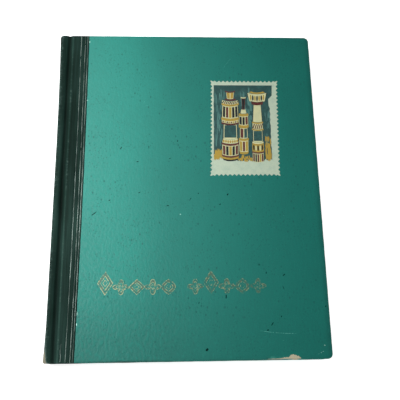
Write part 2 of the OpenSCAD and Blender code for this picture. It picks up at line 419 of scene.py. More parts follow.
# The printed motif's stock and inks: color, color of its patches, and how much the fine grain changes them
INKS = {
    "stock": ((0.54, 0.65, 0.50), (0.40, 0.55, 0.43), 0.2),
    "slate": ((0.022, 0.076, 0.072), (0.045, 0.16, 0.145), 0.2),
    "wash": ((0.085, 0.230, 0.205), (0.05, 0.15, 0.14), 0.2),
    "ochre": ((0.46, 0.31, 0.045), (0.34, 0.26, 0.06), 0.2),
    "cream": ((0.66, 0.67, 0.38), (0.50, 0.56, 0.33), 0.14),
    "maroon": ((0.125, 0.032, 0.027), (0.08, 0.03, 0.026), 0.2),
    "black": ((0.008, 0.014, 0.014), (0.018, 0.03, 0.03), 0.2),
}
M = {key: print_material("motif_" + key, *ink) for key, ink in INKS.items()}
M.update({
    "paper": cover_paper_material(),
    "cloth": cloth_material(),
    "silver": foil_material("tooling_foil", (0.28, 0.38, 0.34), (0.050, 0.085, 0.075), 0.38, along=0.10),
    "gold": foil_material("gold_foil", (0.42, 0.47, 0.26), (0.05, 0.22, 0.16), 0.33, faded=0.14),
    "gold_field": foil_material("gold_foil_field", (0.10, 0.17, 0.11), (0.02, 0.19, 0.15), 0.40),
    "scuff": foil_material("scuffed_stock", (0.42, 0.82, 0.72), (0.19, 0.38, 0.30), 0.30),
    "scratch": foil_material("scratched_coating", (0.13, 0.48, 0.41), (0.03, 0.26, 0.21), 0.36),
    "mark": print_material("dark_marks", (0.001, 0.022, 0.017), (0.002, 0.055, 0.043), 0.3, gloss=0.06),
    "board_patch": paper_material("board_patch", (0.60, 0.54, 0.38), 0.4, rough=0.9, grain=0.14),
    "endpaper": paper_material("endpaper", (0.54, 0.49, 0.36)),
    "card": paper_material("leaf_card", (0.58, 0.53, 0.39), 0.08, own=False),
    "glassine": paper_material("glassine", (0.70, 0.69, 0.60), 0.05, alpha=0.38, rough=0.35, grain=0.02),
    "film": film_material("pocket_film", (0.74, 0.79, 0.76), 0.42),
    "film_edge_highlight": film_material("pocket_film_edge", (0.86, 0.88, 0.84), 0.85),
    "linen": weave_material("linen", (0.62, 0.57, 0.44), (0.40, 0.36, 0.26), 0.5 * MM),
    "block": weave_material("linen_block", (0.60, 0.55, 0.42), (0.38, 0.34, 0.25), 0.5 * MM, own=False),
    "mull": weave_material("mull", (0.60, 0.56, 0.45), (0.24, 0.21, 0.15), 1.1 * MM, own=False),
    "band": paper_material("headband", (0.55, 0.50, 0.36), 0.2, rough=0.7),
    "band_red": paper_material("headband_stripe", (0.10, 0.022, 0.018), 0.2, rough=0.7),
    "kraft": paper_material("kraft_liner", (0.34, 0.22, 0.11), 0.2, own=False),
    "greyboard": greyboard_material(False),
    "own_board": greyboard_material(True),
})


# -------- mesh helpers
def piece(name, shape, materials, body=None, replaces=(), wear=None, flat=False):
    """A mesh object that keeps its rest place in the attribute the materials read.

    shape is (verts, faces), or (verts, faces, material index of each face) for a list of materials.
    """
    verts, faces, *indices = shape
    mesh = bpy.data.meshes.new(name)
    mesh.from_pydata(verts, [], faces)
    for key in materials if indices else [materials]:
        mesh.materials.append(M[key])
    if indices:
        mesh.polygons.foreach_set("material_index", indices[0])
    mesh.polygons.foreach_set("use_smooth", [not flat] * len(faces))
    rest = mesh.attributes.new("rest", "FLOAT_VECTOR", "POINT")
    rest.data.foreach_set("vector", [c for vert in verts for c in vert])
    if wear:
        mesh.attributes.new("wear", "FLOAT", "POINT").data.foreach_set("value", wear)
    mesh.update()
    obj = show(name, mesh)
    if replaces:
        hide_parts(*replaces)
    if body:
        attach(obj, body)
    return obj


def dress(node, key):
    """A CAD node shown as it is, in one of the materials."""
    mesh = frame["nodes"][node].data
    mesh.materials.clear()
    mesh.materials.append(M[key])


def loft(rows, close=False, flip=False):
    """(verts, faces) of a grid with these rows; close joins the end of each row to its start."""
    n, faces = len(rows[0]), []
    for r in range(len(rows) - 1):
        for c in range(n if close else n - 1):
            a, b = r * n + c, r * n + (c + 1) % n
            faces.append((a, a + n, b + n, b) if flip else (a, b, b + n, a + n))
    return [vert for row in rows for vert in row], faces


def tube(rings, flip=True):
    """(verts, faces) of a tube through closed rings. Its last two faces cover its ends."""
    verts, faces = loft(rings, close=True, flip=flip)
    n = len(rings[0])
    return verts, faces + [tuple(range(n)), tuple(reversed(range(len(verts) - n, len(verts))))]


def ribbon(points, widths, kept=None, closed=False):
    """A flat strip along points, with a width at each point. kept says which of its steps are there."""
    pts = [Vector(p) for p in points]
    n = len(pts)
    verts, faces = [], []
    for i, p in enumerate(pts):
        before = pts[(i - 1) % n] if closed or i > 0 else p
        after = pts[(i + 1) % n] if closed or i < n - 1 else p
        side = (after - before).cross(Vector((0, 0, 1))).normalized()
        verts += [p + side * (widths[i] / 2), p - side * (widths[i] / 2)]
    for i in range(n if closed else n - 1):
        j = (i + 1) % n
        if kept is None or kept[i]:
            faces.append((2 * i, 2 * j, 2 * j + 1, 2 * i + 1))
    return verts, faces


def join(parts):
    """Several (verts, faces) or (verts, faces, material index) made one; returns verts, faces, indices."""
    verts, faces, indices = [], [], []
    for part_verts, part_faces, *index in parts:
        base = len(verts)
        verts += part_verts
        faces += [tuple(base + i for i in face) for face in part_faces]
        indices += (index or [0]) * len(part_faces)
    return verts, faces, indices


# -------- the covers
SIDES = {"front": 1, "back": -1}


def depth_z(side, depth):
    """z of a place that far below the outer face of the front (1) or back (-1) cover."""
    return TOP_Z - depth if side > 0 else depth


def paper_edge(y):
    """Where the cover paper ends on the cloth."""
    return from_spine(PAPER_AT) + slant(y) + 0.09 * MM * wobble(y, 4.0, 0.004)


def dent(x, y, side):
    """How far the worn edges of a cover are pushed in, in metres."""
    push = 0.08 * MM * (1 + wobble(x + 2 * y, 2.0 + side, 0.006))
    if side > 0 and y < 0:
        for place, width, depth in DENTS:
            push += depth * MM * bell(x - from_spine(place), width * MM)
    return push


def cover_outline(inset, near_edge=paper_edge):
    """The cover's edge line, inset inwards, from its near edge at the tail round to that at the head."""
    half, fore = HALF_H - inset, FORE_X - inset
    r = max(CORNER_R - inset, 0.25 * MM)
    steps, corner = 120, quarter(10)[1:-1]
    pts = [(x, -half) for x in even(near_edge(-half), fore - r, steps)]
    pts += [(fore - r + r * s, -half + r - r * c) for s, c in corner]
    pts += [(fore, y) for y in even(-half + r, half - r, steps)]
    pts += [(fore - r + r * c, half - r + r * s) for s, c in corner]
    return pts + [(x, half) for x in even(fore - r, near_edge(half), steps)]


def pushed_in(x, y, push, z):
    """A rim place moved inwards by push, across the fore edge or else across the head or tail."""
    at_fore = abs(FORE_X - x) < CORNER_R and abs(y) < HALF_H - CORNER_R
    return Vector((x - push, y, z)) if at_fore else Vector((x, y - copysign(push, y), z))


def edge_wear(x, y, side):
    """Wear of the paper at the cover's rim: chips at the tail, rubbed corners, light rubbing elsewhere."""
    u, v = (x - SPINE_X) / MM, (y + HALF_H) / MM
    corner = min(hypot(FORE_X - x, HALF_H - abs(y)) / MM, 20)
    wear = 0.40 + 0.12 * wobble(u + v, 3.0, 9.0) + 0.30 * bell(corner, 6)
    if side > 0 and v < 8:
        wear += sum(amount * bell(u - place, width) for place, width, amount in RUBBED)
    return wear


def make_cover_paper(name):
    """The paper over a cover: its face, the rounded rim, the turn-in, and its cut edge on the cloth."""
    side = SIDES[name]
    # each row's inset and depth, and the share of the rim's dents that reaches it
    stations = [(7 * MM, 0, 0.0), (4.5 * MM, 0, 0.12), (3.0 * MM, 0, 0.45), (1.9 * MM, 0, 0.8)]
    stations += [(EDGE_R * (1 - s), EDGE_R * (1 - c), 1.0) for s, c in quarter(6)]
    stations += [(EDGE_R * (1 - c), COVER_T - EDGE_R * (1 - s), 1.0) for s, c in quarter(5)]
    stations += [(2.5 * MM, COVER_T, 1.0), (TURN_IN, COVER_T, 0.0)]
    rows, wear = [], []
    for inset, depth, share in stations:
        outline = cover_outline(inset)
        rows.append([pushed_in(x, y, share * dent(x, y, side), depth_z(side, depth)) for x, y in outline])
        rim = max(0.0, 1 - inset / (4.6 * MM)) if depth < 0.5 * COVER_T else 0.35
        for x, y in outline:
            value = edge_wear(x, y, side) * (0.25 + 0.75 * rim) if depth < COVER_T - EDGE_R else 0.1
            wear.append(value if len(rows) > 1 else 0.0)
    verts, faces = loft(rows, flip=side > 0)
    # the face: the first row, closed by the paper's edge on the cloth from head to tail
    n = len(rows[0])
    face = len(faces)
    ys = even(verts[n - 1].y, verts[0].y, 140)[1:-1]
    verts += [Vector((paper_edge(y), y, depth_z(side, 0))) for y in ys]
    edge = [n - 1, *range(n * len(rows), len(verts)), 0]
    faces.append((*range(n), *edge[1:-1])[::side])
    # the paper's thickness along that edge
    verts += [verts[i] + Vector((-0.04 * MM, 0, -side * 1.6 * CLOTH_UNDER)) for i in edge]
    wear += [0.0] * (len(edge) - 2) + [0.5] * len(edge)
    drop = len(verts) - len(edge)
    for k in range(len(edge) - 1):
        faces.append((edge[k], edge[k + 1], drop + k + 1, drop + k)[::-side])
    obj = piece(name + "_paper_skin", (verts, faces), "paper", name + "_cover",
                [name + "_cover_paper"], wear)
    obj.data.polygons[face].use_smooth = False


def make_board(name):
    """The greyboard in a cover, with its edges crushed round and the same dents as the paper over it."""
    side = SIDES[name]
    lo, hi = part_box(name + "_board")
    clear, round_off = 0.08 * MM, 0.45 * MM
    stations = [(6 * MM, clear)]
    stations += [(SKIN + clear + round_off * (1 - s), clear + round_off * (1 - c)) for s, c in quarter(4)]
    stations += [(inset, hi.z - lo.z - depth) for inset, depth in reversed(stations)]
    rows = []
    for inset, depth in stations:
        share = 1 if inset < 5 * MM else 0
        rows.append([pushed_in(x, y, share * dent(x, y, side), depth_z(side, SKIN + depth))
                     for x, y in cover_outline(inset, lambda y: from_spine(GROOVE[2]))])
    verts, faces = loft(rows, flip=side > 0)
    n = len(rows[0])
    near = [r * n for r in range(len(rows))] + [r * n + n - 1 for r in reversed(range(len(rows)))]
    caps = [tuple(range(n)), tuple(reversed(range(len(verts) - n, len(verts)))), tuple(reversed(near))]
    faces += [cap[::side] for cap in caps]
    piece(name + "_grey_board", (verts, faces), "own_board", name + "_cover",
          [name + "_board"], flat=True)


# Each tooled line's distance from the spine in millimetres, and the share of the slant that it follows
LINES = [(17.1, 0.80), (20.9, 0.75), (22.8, 0.95)]
LINE_DEPTH = 0.14 * MM


def line_x(k, y):
    """x of a tooled line at y, drawn by hand."""
    base, share = LINES[k]
    return from_spine(base) + share * slant(y) + 0.12 * MM * wobble(y, 5.0 + k, 0.02)


def spine_face(y):
    """x of the spine's outer edge at y: pulled outwards near both ends and rounded at its corners."""
    t, end = (y + HALF_H) / (2 * HALF_H), HALF_H - abs(y)
    head_flare, tail_flare, head_r, tail_r = 1.7, 1.1, 2.4, 1.8  # all in millimetres
    flare = head_flare * max(0.0, (t - 0.6) / 0.4) ** 2.2 + tail_flare * max(0.0, 1 - t / 0.12) ** 1.8
    r = (head_r if y > 0 else tail_r) * MM
    return SPINE_X - flare * MM + r - sqrt(r ** 2 - max(0.0, r - end) ** 2)


def pulled_out(x, y):
    """x of an outer point of the cloth once the spine's end is flared and rounded."""
    moved = x + (spine_face(y) - SPINE_X) * max(0.0, 1 - (x - SPINE_X) / (GROOVE[2] * MM)) ** 1.6
    return max(moved, spine_face(y))


def case_profile(y):
    """Outer face of the case cloth in x and depth, from under the paper to the middle of the spine,
    with the depth of the face behind it."""
    pts = [(paper_edge(y) + 3 * MM, CLOTH_UNDER, COVER_T), (paper_edge(y) - 0.05 * MM, CLOTH_UNDER, COVER_T)]
    for k in (2, 1, 0):
        for dx, d in TOOLED:
            pts.append((line_x(k, y) + dx * MM, CLOTH_UNDER + d * LINE_DEPTH, COVER_T))
    for x in (15.2, 13.6, 12.4, 11.4, 10.7):
        pts.append((from_spine(x) + slant(y) * (x - 9.5) / 8, CLOTH_UNDER, COVER_T))
    # over the near edge of the board, down into the joint and up to the spine
    far_side, bottom, crest = [from_spine(x) for x in GROOVE]
    for i, x in enumerate(even(crest, JOINT_X, 28)[1:]):
        sunk = (crest - x) / (crest - bottom) if x > bottom else (x - far_side) / (bottom - far_side)
        depth = CLOTH_UNDER * smooth((x - far_side) / (crest - far_side)) + GROOVE_D * smooth(sunk)
        behind = COVER_T + (depth + 2 * CLOTH_R - COVER_T) * smooth(i / 4)
        pts.append((x, depth, behind))
    return pts


def cloth_section(side, y):
    """Pairs of an outer and an inner place of the case cloth at y, in x and z."""
    pairs = [(x, d, x, behind) for x, d, behind in case_profile(y)]
    middle, r = SPINE_X + SHOULDER_R, SHOULDER_R - 2 * CLOTH_R
    pairs += [(middle - SHOULDER_R * s, SHOULDER_R - SHOULDER_R * c, middle - r * s, SHOULDER_R - r * c)
              for s, c in quarter(8)[1:]]
    pairs += [(SPINE_X, d, SPINE_IN_X + 0.3 * MM, d) for d in even(SHOULDER_R, MID_Z, 7)[1:]]
    return [(Vector((x, depth_z(side, d))), Vector((u, depth_z(side, e)))) for x, d, u, e in pairs]


def cloth_stations():
    """Rows of the case cloth from the turn-in at the tail to that at the head. Each has its y, whether it is
    on the outer face, and how far it is rolled round the end in depth and in y, as shares of the radius."""
    roll = quarter(4)
    head = [(HALF_H, True, 1 - c, 1 - s) for s, c in roll] + [(HALF_H, False, 1 - s, 1 - c) for s, c in roll]
    head += [(HALF_H - 2 * MM, False, 0, 0), (HALF_H - TURN_IN, False, 0, 0)]
    tail = [(-y, *place) for y, *place in reversed(head)]
    ys = even(-HALF_H, HALF_H, 150)
    ys += [sign * (HALF_H - end * MM) for sign in (-1, 1) for end in (0.85, 1.1, 1.45, 2.6, 3.2)]
    return tail + [(y, True, 0, 0) for y in sorted(ys) if abs(y) < HALF_H - EDGE_R - 0.2 * MM] + head


def cloth_wear_and_sheen(side, place):
    """Wear of the case cloth: rubbed ends and most of all the tail corners, and on the shoulder and the joint
    ridge rubbing together with a painted sheen.
    """
    x, y, z = place
    end = (HALF_H - abs(y)) / MM
    shoulder = hypot(x - SPINE_X - 0.4 * MM, z - depth_z(side, 0.4 * MM)) / MM
    ridge = (x - from_spine(GROOVE[2] + 0.4)) / MM
    # the shoulder and ridge terms paint the cloth's sheen there as well as its rubbing
    value = 0.46 * exp(-shoulder / 1.7) + 0.20 * exp(-end / 0.8) + 0.22 * bell(ridge, 0.9)
    value += 0.30 * exp(-hypot(shoulder, end) / 2.0)
    if y < 0:
        value += 0.9 * bell(hypot(1.5 * shoulder, 0.22 * end), 2.2)
        value += 0.30 * exp(-end / 1.6 - (x - SPINE_X) / (6 * MM))
    return value + 0.06 * wobble(y, 7.0, 0.013) - 0.06


def make_case_cloth(name):
    """One half of the case cloth: over a board's near strip, the joint and half of the spine."""
    side = SIDES[name]
    rows = []
    for y_at, is_outer, deep, back in cloth_stations():
        row = []
        for outer, inner in cloth_section(side, y_at):
            thick = (inner - outer).length
            r = min(EDGE_R, thick / 2)
            inwards = (inner - outer) / thick * (r * deep)
            y = y_at - copysign(r * back, y_at)
            p = outer + inwards if is_outer else inner - inwards
            row.append(Vector((pulled_out(p.x, y) if is_outer else p.x, y, p.y)))
        rows.append(row)
    replaces = [name + "_joint_cloth"] + (["spine_cloth"] if side > 0 else [])
    obj = piece(name + "_case_cloth", loft(rows, flip=side < 0), "cloth",
                replaces=replaces, wear=[cloth_wear_and_sheen(side, place) for row in rows for place in row])
    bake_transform(obj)


def make_tooling(name):
    """Worn foil in the three tooled lines of a cover."""
    side = SIDES[name]
    rng = random.Random(11 + side)
    parts, steps = [], 260
    for k in range(3):
        pts = [(line_x(k, y), y, depth_z(side, CLOTH_UNDER + LINE_DEPTH - LIFT * 1.5))
               for y in even(-HALF_H + EDGE_R, HALF_H - EDGE_R, steps)]
        # the foil holds best towards the tail and along the outer line
        held = [0.5 + 0.5 * wobble(i, 3.1 * k + side, 5.0) + 0.35 - 0.3 * i / steps + (0.15 if k == 2 else 0)
                + rng.uniform(-0.12, 0.12) for i in range(steps + 1)]
        widths = [(0.12 + 0.20 * min(1.0, max(0.0, h))) * MM for h in held]
        parts.append(ribbon(pts, widths, [h >= 0.16 for h in held]))
    piece(name + "_tooled_foil", join(parts)[:2], "silver", name + "_cover")


def make_pastedown(name):
    """Endpaper glued inside a cover; it rises over the edges of the turn-ins."""
    side = SIDES[name]
    rows = []
    for y in even(-paste_hi.y, paste_hi.y, 110):
        row = []
        for x in even(BOARD_X - 0.4 * MM, paste_hi.x, 90):
            to_edge = min(FORE_X - x, HALF_H - abs(y))
            rise = 1 - smooth((to_edge - TURN_IN + 0.8 * MM) / (2.4 * MM))
            row.append((x, y, depth_z(side, COVER_T + 0.03 * MM + 0.12 * MM * rise)))
        rows.append(row)
    piece(name + "_endpaper_board", loft(rows, flip=side > 0), "endpaper", name + "_cover",
          [name + "_pastedown"])


def make_inner_joint(name):
    """The endpaper's hinge, from the pastedown to the spine block."""
    side = SIDES[name]
    half = paste_hi.y - 0.5 * MM
    a = Vector((BOARD_X + 0.3 * MM, depth_z(side, COVER_T + 0.10 * MM)))
    b = Vector((BLOCK_X + 0.05 * MM, HINGES[name + "_flyleaf"].z + side * 0.10 * MM))
    rows = [[(a.x + (b.x - a.x) * t, y, a.y + (b.y - a.y) * smooth(t)) for t in even(0, 1, 16)]
            for y in even(-half, half, 40)]
    obj = piece(name + "_inner_joint", loft(rows, flip=side < 0), "endpaper")
    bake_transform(obj)


for cover in SIDES:
    make_cover_paper(cover)
    make_board(cover)
    make_case_cloth(cover)
    make_tooling(cover)
    make_pastedown(cover)
    make_inner_joint(cover)


# -------- spine lining, bands and the block
def make_band(name):
    """A headband: a cord wrapped in two colours of thread, lying across the end of the block."""
    lo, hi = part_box(name)
    middle, radius = (lo.y + hi.y) / 2, (hi.y - lo.y) / 2
    turns, ring = 26, 12
    rows = []
    for i, z in enumerate(even(lo.z, hi.z, 4 * turns)):
        r = radius * (0.88 + 0.12 * abs(sin(pi * i / 4)))
        rows.append([(lo.x + r * cos(a), middle + r * sin(a), z)
                     for a in even(-pi / 2, pi / 2, ring)])
    verts, faces = loft(rows)
    colours = [(f // ring // 4) % 2 for f in range(len(faces))]
    piece(name + "_cord", (verts, faces, colours), ["band", "band_red"], "spine", [name])


for node, key in {"spine_board": "greyboard", "spine_liner": "kraft", "mull_strip": "mull",
                  "guard_stubs": "block"}.items():
    dress(node, key)
for band in ("head_band", "tail_band"):
    make_band(band)


# -------- sheets inside
def fore_end(y, half, x1, corner=1.2 * MM):
    """x of a sheet's fore edge at y, with slightly rounded corners."""
    over = max(0.0, abs(y) - (half - corner))
    return x1 - corner + sqrt(max(0.0, corner ** 2 - over ** 2))


def blend_to_spine(obj):
    """Bakes the sheet's place into its mesh."""
    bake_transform(obj)


def make_sheet(node, material, thickness, seed, ripple):
    """A thin loose sheet from the block to the fore edge, very slightly rippled."""
    lo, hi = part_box(node)
    # the first stations lie closer together beside the fold
    near = [BLOCK_X + 0.02 * MM + d * MM for d in (0, 0.3, 0.6, 0.9, 1.2, 1.6, 2.0, 3, 5, 8, 14)]
    rings = []
    for t in even(0, 1, 56):
        y = -hi.y + 2 * hi.y * (t + 0.004 * sin(2 * pi * t))
        middle = []
        for x in near + even(near[-1], fore_end(y, hi.y, hi.x), 26)[1:]:
            wave = ripple * smooth((x - FOLD_X) / (20 * MM)) * wobble(0.8 * x + 1.3 * y, seed, 0.03)
            middle.append((x, (lo.z + hi.z) / 2 + wave))
        rings.append([(x, y, z + thickness / 2) for x, z in middle]
                     + [(x, y, z - thickness / 2) for x, z in reversed(middle)])
    blend_to_spine(piece(node + "_sheet", tube(rings), material, replaces=[node]))


def make_guard(k):
    """Linen guard of a leaf: a stem from the block that splits to both faces of the card."""
    body = f"leaf_{k}"
    lo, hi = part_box(body + "_hinge")
    card_lo, card_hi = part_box(body + "_card")
    z, card = (lo.z + hi.z) / 2, (card_hi.z - card_lo.z) / 2
    outer, stem, split = (hi.z - lo.z) / 2, 0.08 * MM, card_lo.x
    upper = [(BLOCK_X + d * MM, stem) for d in (0.02, 0.3, 0.6, 0.9, 1.3, 1.7, 2.4, 5)]
    upper += [(split - 1.6 * MM, stem), (split - 0.9 * MM, stem + 0.2 * (outer - stem)),
              (split - 0.3 * MM, 0.75 * outer), (split + 0.2 * MM, outer), (hi.x - 0.3 * MM, outer),
              (hi.x, card + 0.03 * MM), (hi.x, card)]
    outline = upper + [(x, -h) for x, h in reversed(upper)]
    rings = []
    for y in even(-hi.y, hi.y, 48):
        stray = 0.12 * MM * wobble(y, k, 0.006)
        rings.append([(x + (stray if x > split else 0), y, z + h) for x, h in outline])
    obj = piece(body + "_guard", loft(rings, close=True, flip=True), "linen",
                replaces=[body + "_hinge"])
    blend_to_spine(obj)


def make_pockets(k):
    """Nine strips on each face, pasted down along the tail side and ends and open towards the head."""
    body = f"leaf_{k}"
    lo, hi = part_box(body + "_pockets")
    card_lo, card_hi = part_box(body + "_card")
    count, film, clear = 9, 0.03 * MM, 0.01 * MM
    pitch = 2 * card_hi.y / count
    height = (hi.y - lo.y) - (count - 1) * pitch
    z, card, lift = (card_lo.z + card_hi.z) / 2, (card_hi.z - card_lo.z) / 2, hi.z - card_hi.z - film - clear
    parts = []
    for face, r in [(face, r) for face in (1, -1) for r in range(count)]:
        y0 = (r - (count - 1) / 2) * pitch - height / 2
        rings = []
        for t in (0, 0.06, 0.3, 0.6, 0.85, 0.955, 1.0):
            under = []
            for s in even(0, 1, 14):
                open_up = smooth(t) * smooth(min(s, 1 - s) * 8)
                bow = 0.55 + 0.45 * wobble(s + r + face, k, 0.17)
                under.append((lo.x + (hi.x - lo.x) * s, y0 + height * t, card + clear + lift * open_up * bow))
            rings.append([(x, y, z + face * (h + film)) for x, y, h in under]
                         + [(x, y, z + face * h) for x, y, h in reversed(under)])
        # the film at the strip's open edge, the last band before the two ends, is a painted highlight: paler
        # and more opaque
        verts, faces = tube(rings, flip=face > 0)
        band = len(faces) - len(rings[0]) - 2
        parts += [(verts, faces[:band] + faces[-2:]), (verts, faces[band:-2], 1)]
    piece(body + "_pocket_strips", join(parts), ["film", "film_edge_highlight"], body,
          [body + "_pockets"])


for cover, side in SIDES.items():
    make_sheet(cover + "_flyleaf", "endpaper", 0.15 * MM, 1.0 + side, 0.04 * MM)
for k in range(1, N_LEAVES):
    make_sheet(f"interleaf_{k}", "glassine", 0.06 * MM, 2.0 + k, 0.10 * MM)
for k in range(1, N_LEAVES + 1):
    dress(f"leaf_{k}_card", "card")
    make_guard(k)
    make_pockets(k)


# -------- printed motif on the front cover
# Motif places are shares of its own width and height, x from its left and y from its foot.
MOTIF_W, MOTIF_H = 63.1 * MM, 94.6 * MM
MOTIF_X, MOTIF_Y = from_spine(138.0), from_tail(159.4)
MOTIF_LEAN = 0.0245
INK = 0.01 * MM
TEETH_ACROSS, TEETH_DOWN, TOOTH = 16, 24, 1.7 * MM
STOCK, SLATE, WASH, OCHRE, CREAM, MAROON, BLACK = range(len(INKS))
# Layers of the motif from the paper up
PAPER, GROUND, WASHES, MARKED, JARS, SHADES, FIGURES = 0, 1, 2, 5, 8, 8.5, 9
# Strokes of one colour that cross lie this share of a layer above one another
STROKE_STEP = 0.08


def on_motif(u, v, layer):
    """A place on the printed motif. Later layers of ink lie a hair higher."""
    x = MOTIF_X + u * MOTIF_W + MOTIF_LEAN * v * MOTIF_H
    return x, MOTIF_Y + v * MOTIF_H, TOP_Z + (1 + layer) * INK


def flat_shape(points, layer, mat):
    """A flat filled outline on the motif."""
    return [on_motif(u, v, layer) for u, v in points], [tuple(range(len(points)))], mat


def perforated_sheet():
    """The stamp's paper: a strip of rounded teeth all round a plain field."""
    in_u, in_v = TOOTH / MOTIF_W, TOOTH / MOTIF_H
    ring = []
    # each side's start, its direction and its teeth, with the sheet on its left
    for u, v, du, dv, count in ((0, 0, 1, 0, TEETH_ACROSS), (1, 0, 0, 1, TEETH_DOWN),
                                (1, 1, -1, 0, TEETH_ACROSS), (0, 1, 0, -1, TEETH_DOWN)):
        for t in even(0, 1, count * 6)[:-1]:
            bite = 1 - abs(2 * ((t * count) % 1) - 1) ** 1.25
            bite *= smooth(min(t, 1 - t) * count / 1.1)
            ring.append((u + du * t - dv * in_u * bite, v + dv * t + du * in_v * bite))
    low_u, low_v = 1.25 * in_u, 1.25 * in_v
    inner = [(min(1 - low_u, max(low_u, u)), min(1 - low_v, max(low_v, v))) for u, v in ring]
    teeth = loft([[on_motif(u, v, PAPER) for u, v in line] for line in (ring, inner)], close=True)
    corners = [(low_u, low_v), (1 - low_u, low_v), (1 - low_u, 1 - low_v), (low_u, 1 - low_v)]
    return [(*teeth, STOCK), flat_shape(corners, PAPER, STOCK)]


def ragged(p, q, count, depth, rng):
    """Brush-like points from p to q that jut out across the line by up to depth."""
    out = []
    dx, dy = q[0] - p[0], q[1] - p[1]
    length = hypot(dx, dy)
    for i, t in enumerate(even(0, 1, count)):
        push = depth * (rng.random() if i % 2 else -0.4 * rng.random()) if 0 < i < count else 0
        out.append((p[0] + dx * t - dy / length * push, p[1] + dy * t + dx / length * push))
    return out


def on_jar(cx, sag, s, v, half):
    """A place on a jar's surface: s from -1 to 1 across it, its level bowed down by sag in the middle."""
    return cx + half * s, v - sag * (1 - s * s)


def jar_panel(cx, sag, w0, w1, low, high, lower, upper):
    """An outline on a jar, through lower at the level low and back through upper at the level high."""
    return [on_jar(cx, sag, s, low, w0) for s in lower] + [on_jar(cx, sag, s, high, w1) for s in upper]


def band_figures(cx, sag, w0, w1, v, height, kind, inks, count):
    """Upright bars, slanting bars, rounds or open windows painted round one band of a jar."""
    shapes = []
    low, high = v + 0.07 * height, v + 0.93 * height
    share = {"bars": 0.74, "slant": 0.55, "dots": 0.8, "window": 0.92}[kind]
    for i in range(count):
        s0 = -0.92 + 1.84 * (i + (1 - share) / 2) / count
        s1 = s0 + 1.84 * share / count
        if kind == "dots":
            level, mid, half = (low + high) / 2, (s0 + s1) / 2, (s1 - s0) / 2
            points = [on_jar(cx, sag, mid + half * cos(a), level + 0.34 * height * sin(a), w0)
                      for a in circle(10)]
        else:
            lean = 0.7 * (s1 - s0) if kind == "slant" else 0
            points = jar_panel(cx, sag, w0, w1, low, high, (s0 - lean, s1 - lean), (s1 + lean, s0 + lean))
        shapes.append(flat_shape(points, FIGURES, inks[i % len(inks)]))
    return shapes


def pot(cx, foot, bands):
    """A stack of plain banded jars. A band has its height, its lower and upper half width, all three in
    thousandths, its ink, and for a band with figures their kind, inks and count."""
    shapes, v = [], foot
    for height, w0, w1, ink, *figures in bands:
        height, w0, w1 = height / 1000, w0 / 1000, w1 / 1000
        jar = cx, 0.14 * min(w0, w1), w0, w1
        body = jar_panel(*jar, v, v + height, (-1, -0.5, 0, 0.5, 1), (1, 0.5, 0, -0.5, -1))
        shapes.append(flat_shape(body, JARS, ink))
        if ink == CREAM:
            for s0, s1 in ((-1.0, -0.95), (0.93, 1.0)):
                shapes.append(flat_shape(jar_panel(*jar, v, v + height, (s0, s1), (s1, s0)), SHADES, BLACK))
        if figures:
            shapes += band_figures(*jar, v, height, *figures)
        v += height
    return shapes


def brush_marks(rng, count, u_span, v_span, length, wide, ink, layer):
    """Upright dry brush strokes with split ends, scattered over part of the ground."""
    shapes = []
    for _ in range(count):
        u, v = rng.uniform(*u_span), rng.uniform(*v_span)
        reach, half = length * rng.uniform(0.5, 1.2), wide * rng.uniform(0.4, 1.0)
        lean = rng.uniform(-0.010, 0.010)
        points = [(u - half, v), (u, v + 0.2 * reach * rng.random()),
                  (u + half, v - 0.2 * reach * rng.random()),
                  (u + half + lean, v + reach * rng.uniform(0.7, 1)),
                  (u + 0.3 * half + lean, v + 0.8 * reach), (u - half + lean, v + reach)]
        shapes.append(flat_shape(points, layer + STROKE_STEP * len(shapes), ink))
    return shapes


# The bands of the three stacks of jars from the foot up. Heights are in thousandths of the motif's height,
# half widths in thousandths of its width
TALL = [(16, 100, 112, BLACK), (22, 112, 120, OCHRE), (18, 120, 124, MAROON),
        (105, 122, 126, CREAM, "bars", (MAROON, BLACK, OCHRE, BLACK), 5), (20, 128, 128, MAROON),
        (42, 124, 112, CREAM, "dots", (OCHRE,), 7), (150, 104, 100, CREAM, "window", (SLATE,), 1),
        (20, 124, 130, MAROON), (26, 130, 130, CREAM, "dots", (MAROON, OCHRE), 8), (26, 132, 130, OCHRE),
        (130, 126, 120, CREAM, "bars", (BLACK, MAROON, OCHRE, BLACK), 5), (20, 124, 128, OCHRE),
        (34, 128, 124, CREAM, "slant", (BLACK, MAROON), 9), (16, 86, 70, MAROON),
        (70, 50, 62, CREAM, "bars", (OCHRE,), 2), (14, 74, 74, MAROON)]
MIDDLE = [(24, 60, 68, OCHRE), (115, 68, 70, CREAM, "bars", (OCHRE, MAROON), 3), (22, 72, 72, OCHRE),
          (110, 60, 58, CREAM, "bars", (MAROON, SLATE), 2), (30, 70, 74, OCHRE),
          (95, 72, 70, CREAM, "bars", (BLACK, BLACK, MAROON), 3), (26, 72, 66, OCHRE), (42, 46, 34, CREAM),
          (120, 20, 28, MAROON, "bars", (BLACK,), 1), (14, 40, 40, CREAM)]
SLIM = [(90, 84, 84, CREAM, "bars", (MAROON, BLACK, MAROON, OCHRE), 5), (14, 88, 88, MAROON),
        (85, 84, 82, OCHRE, "dots", (BLACK, CREAM), 5), (16, 86, 86, CREAM),
        (120, 72, 72, CREAM, "window", (SLATE,), 1), (14, 84, 84, OCHRE),
        (60, 80, 78, CREAM, "slant", (MAROON,), 5), (14, 82, 80, OCHRE), (185, 70, 54, CREAM),
        (36, 82, 90, MAROON), (90, 120, 150, CREAM, "dots", (OCHRE, BLACK), 7), (14, 120, 90, OCHRE)]


